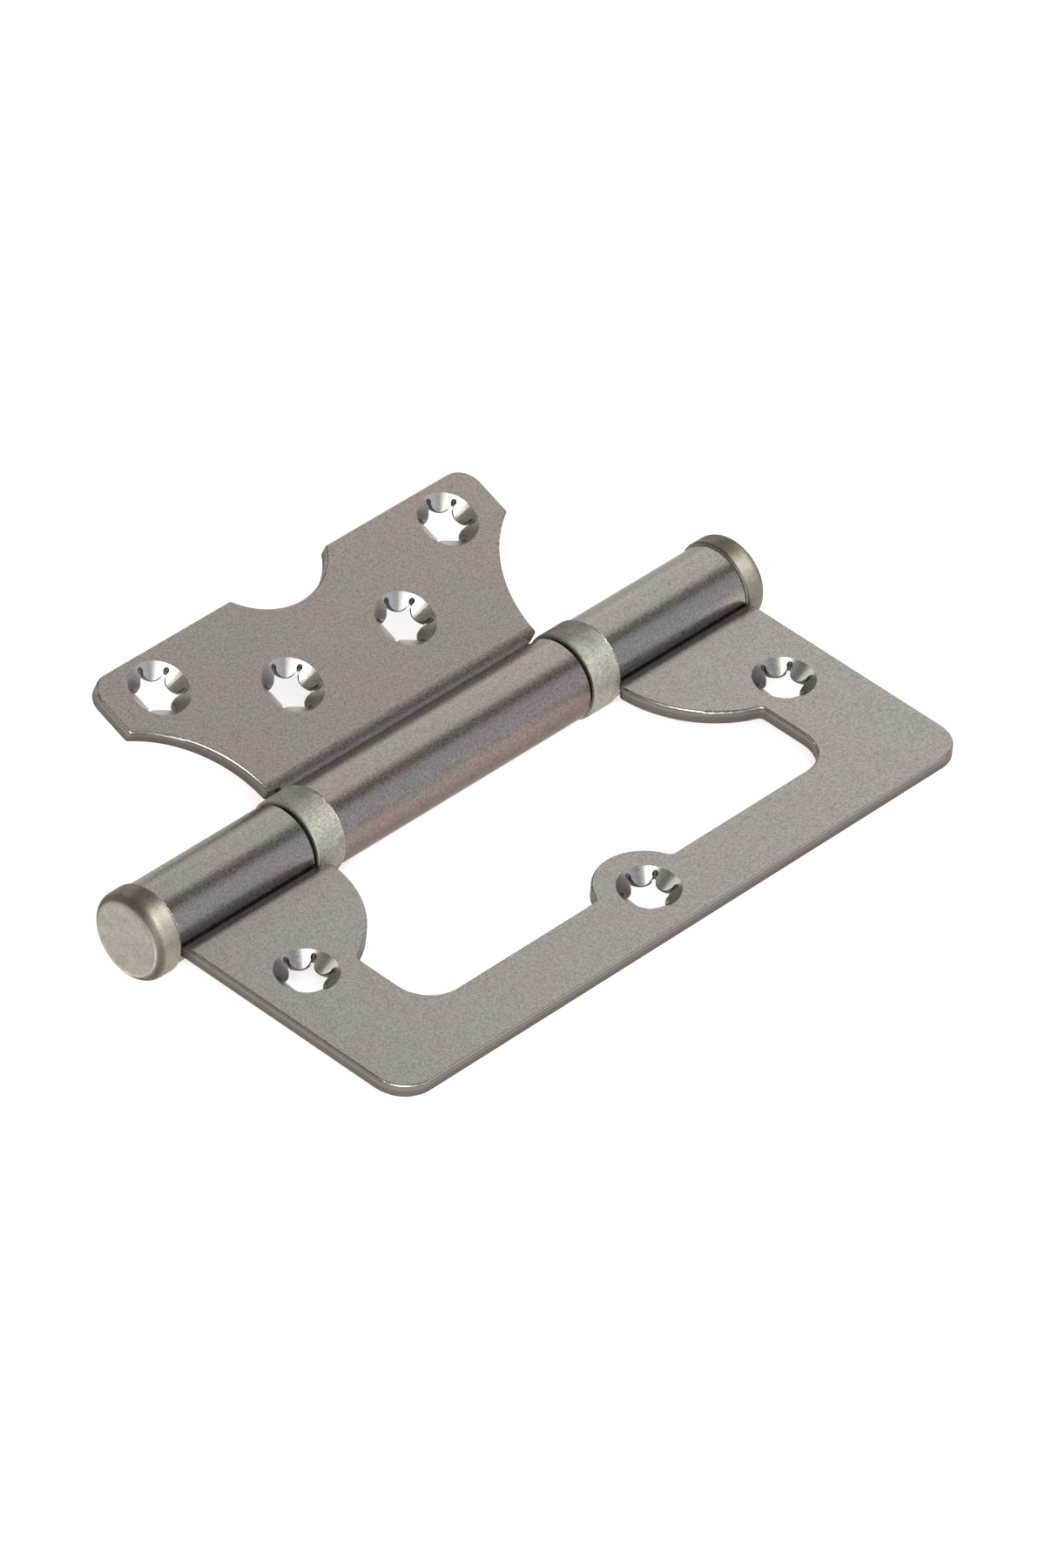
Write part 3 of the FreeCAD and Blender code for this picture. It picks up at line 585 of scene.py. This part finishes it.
# A cap's side and shoulder are painted darker than its flat end: painted shade
cap_metal = turned_nickel("satin_nickel_cap", dark_hex="#a8a59c", light_hex="#c6c3b9",
                          painted_shade_stops=[(0.0, "#d2d0ca"), (0.30, "#c8c5be"), (0.55, "#a8a39c"),
                                      (0.85, "#aaa69f"), (0.97, "#ffffff")],
                          side_roughness=0.5)

# %% [markdown]
# ## Bare steel inside the barrel
# The pin, the race washers and the balls are bare steel. The pin is drawn bar with faint lines
# along it, the washers are hardened and a little darker, and the balls are polished. Only
# slivers of them show in the gaps beside the collars, but the hinge can be turned over and
# taken apart on screen.

# %% Bare steel
def bare_steel(name, dark_hex, light_hex, roughness, mark_mm):
    """Steel with faint marks, whose size in millimetres is given along each axis."""
    material, shader = new_material(name, light_hex, roughness)
    tree = material.node_tree
    place = add_node(tree, "ShaderNodeTexCoord")
    marks_place = add_node(tree, "ShaderNodeMapping",
                           {"Vector": place.outputs["Object"],
                            "Scale": [per_metre(size) for size in mark_mm]})
    marks = add_node(tree, "ShaderNodeTexNoise",
                     {"Vector": marks_place.outputs["Vector"], "Scale": 1.0, "Detail": 3.0,
                      "Roughness": 0.6})
    tone = add_node(tree, "ShaderNodeMapRange",
                    {"Value": marks.outputs["Fac"], "From Min": 0.35, "From Max": 0.65})
    colour = add_node(tree, "ShaderNodeMix",
                      {0: tone.outputs["Result"], 6: linear(dark_hex), 7: linear(light_hex)},
                      data_type="RGBA")
    bump = add_node(tree, "ShaderNodeBump",
                    {"Height": marks.outputs["Fac"], "Strength": 0.2, "Distance": 0.01 * MM})
    tree.links.new(colour.outputs[2], shader.inputs["Base Color"])
    tree.links.new(bump.outputs["Normal"], shader.inputs["Normal"])
    print(name, "has marks of", mark_mm, "mm")
    return material


pin_metal = bare_steel("drawn_steel", "#8e8b86", "#aeaba6", roughness=0.28,
                       mark_mm=(6.0, 0.2, 0.2))
race_metal = bare_steel("hardened_steel", "#5f5b56", "#7d7973", roughness=0.35,
                        mark_mm=(0.3, 0.3, 0.3))
ball_metal = bare_steel("polished_ball_steel", "#b4b3b1", "#c2c1bf", roughness=0.10,
                        mark_mm=(0.8, 0.8, 0.8))

# %% [markdown]
# ## Dress the CAD pieces
# The CAD shapes are right as they are, so each one keeps its mesh and only gets its finish.

# %% Dress the pieces
finish_of = {
    "outer_leaf": frame_leaf_metal, "inner_leaf": door_leaf_metal,
    "near_cap": cap_metal, "far_cap": cap_metal,
    "near_collar": collar_metal, "far_collar": collar_metal,
    "near_race_washer": race_metal, "far_race_washer": race_metal,
    "hinge_pin": pin_metal,
}
for node_name, material in finish_of.items():
    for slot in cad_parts[node_name].material_slots:
        slot.material = material
    print(node_name, "wears", material.name)

# %% [markdown]
# ## The bearing balls
# Each collar hides a thrust bearing, a full ring of sixteen small balls in its cup. They
# repeat round the pin, so Geometry Nodes make them: a circle of points, a ball on each point,
# and the finish. The ring's sizes are read from the CAD balls, which these round ones stand
# for. The result becomes a plain mesh, because the balls don't change afterwards.

# %% A tree that makes a ring of balls
def ball_ring_tree():
    """Geometry nodes for balls in a ring round the X axis, with named sizes."""
    tree = bpy.data.node_groups.new("ball_ring", "GeometryNodeTree")
    for name, kind in (("Count", "NodeSocketInt"), ("Ring Radius", "NodeSocketFloat"),
                       ("Ball Radius", "NodeSocketFloat"), ("Along Pin", "NodeSocketFloat"),
                       ("Finish", "NodeSocketMaterial")):
        tree.interface.new_socket(name, in_out="INPUT", socket_type=kind)
    tree.interface.new_socket("Geometry", in_out="OUTPUT", socket_type="NodeSocketGeometry")
    given = add_node(tree, "NodeGroupInput").outputs
    points = add_node(tree, "GeometryNodeMeshCircle",
                      {"Vertices": given["Count"], "Radius": given["Ring Radius"]})
    shift = add_node(tree, "ShaderNodeCombineXYZ", {"X": given["Along Pin"]})
    upright = add_node(tree, "GeometryNodeTransform",
                       {"Geometry": points.outputs["Mesh"],
                        "Translation": shift.outputs["Vector"],
                        "Rotation": (0.0, math.pi / 2, 0.0)})
    ball = add_node(tree, "GeometryNodeMeshUVSphere",
                    {"Segments": 24, "Rings": 12, "Radius": given["Ball Radius"]})
    smooth = add_node(tree, "GeometryNodeSetShadeSmooth", {"Geometry": ball.outputs["Mesh"]})
    balls = add_node(tree, "GeometryNodeInstanceOnPoints",
                     {"Points": upright.outputs["Geometry"],
                      "Instance": smooth.outputs["Geometry"]})
    real = add_node(tree, "GeometryNodeRealizeInstances",
                    {"Geometry": balls.outputs["Instances"]})
    finish = add_node(tree, "GeometryNodeSetMaterial",
                      {"Geometry": real.outputs["Geometry"], "Material": given["Finish"]})
    add_node(tree, "NodeGroupOutput", {"Geometry": finish.outputs["Geometry"]})
    return tree


ring_tree = ball_ring_tree()
print("the tree has", len(ring_tree.nodes), "nodes")

# %% [markdown]
# ## Both rings of balls
# The tree runs once for each collar, as a modifier on an empty mesh. The balls are made a hair
# smaller than the CAD ones, so no corner of their facets reaches past them. Each ring then
# takes the place of its CAD node and turns with its own bearing.

# %% Make both rings
BALL_COUNT = 16
BALL_SCALE = 0.995


def ball_ring(name, node_name, body):
    """One ring of balls in the place of its CAD node, riding on the bearing."""
    low, high = (Vector(corner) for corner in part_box(node_name))
    ball_radius = (high.x - low.x) / 2
    sizes = {"Count": BALL_COUNT, "Ring Radius": (high.z - low.z) / 2 - ball_radius,
             "Ball Radius": BALL_SCALE * ball_radius, "Along Pin": (low.x + high.x) / 2,
             "Finish": ball_metal}
    maker = bpy.data.objects.new(name + "_maker", bpy.data.meshes.new(name + "_blank"))
    bpy.context.scene.collection.objects.link(maker)
    modifier = maker.modifiers.new("ball_ring", "NODES")
    modifier.node_group = ring_tree
    for item in ring_tree.interface.items_tree:
        if item.in_out == "INPUT":
            modifier[item.identifier] = sizes[item.name]
    evaluated = maker.evaluated_get(bpy.context.evaluated_depsgraph_get())
    mesh = bpy.data.meshes.new_from_object(evaluated)
    mesh.name = name
    # The tree leaves an empty material slot before the finish
    mesh.materials.clear()
    mesh.materials.append(ball_metal)
    bpy.data.objects.remove(maker)
    balls = bpy.data.objects.new(name, mesh)
    bpy.context.scene.collection.objects.link(balls)
    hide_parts(node_name)
    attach(balls, body)
    print(name, "has", len(mesh.polygons), "faces and", len(mesh.materials), "material")


ball_ring("near_ball_ring", "near_bearing_balls", "near_bearing")
ball_ring("far_ball_ring", "far_bearing_balls", "far_bearing")
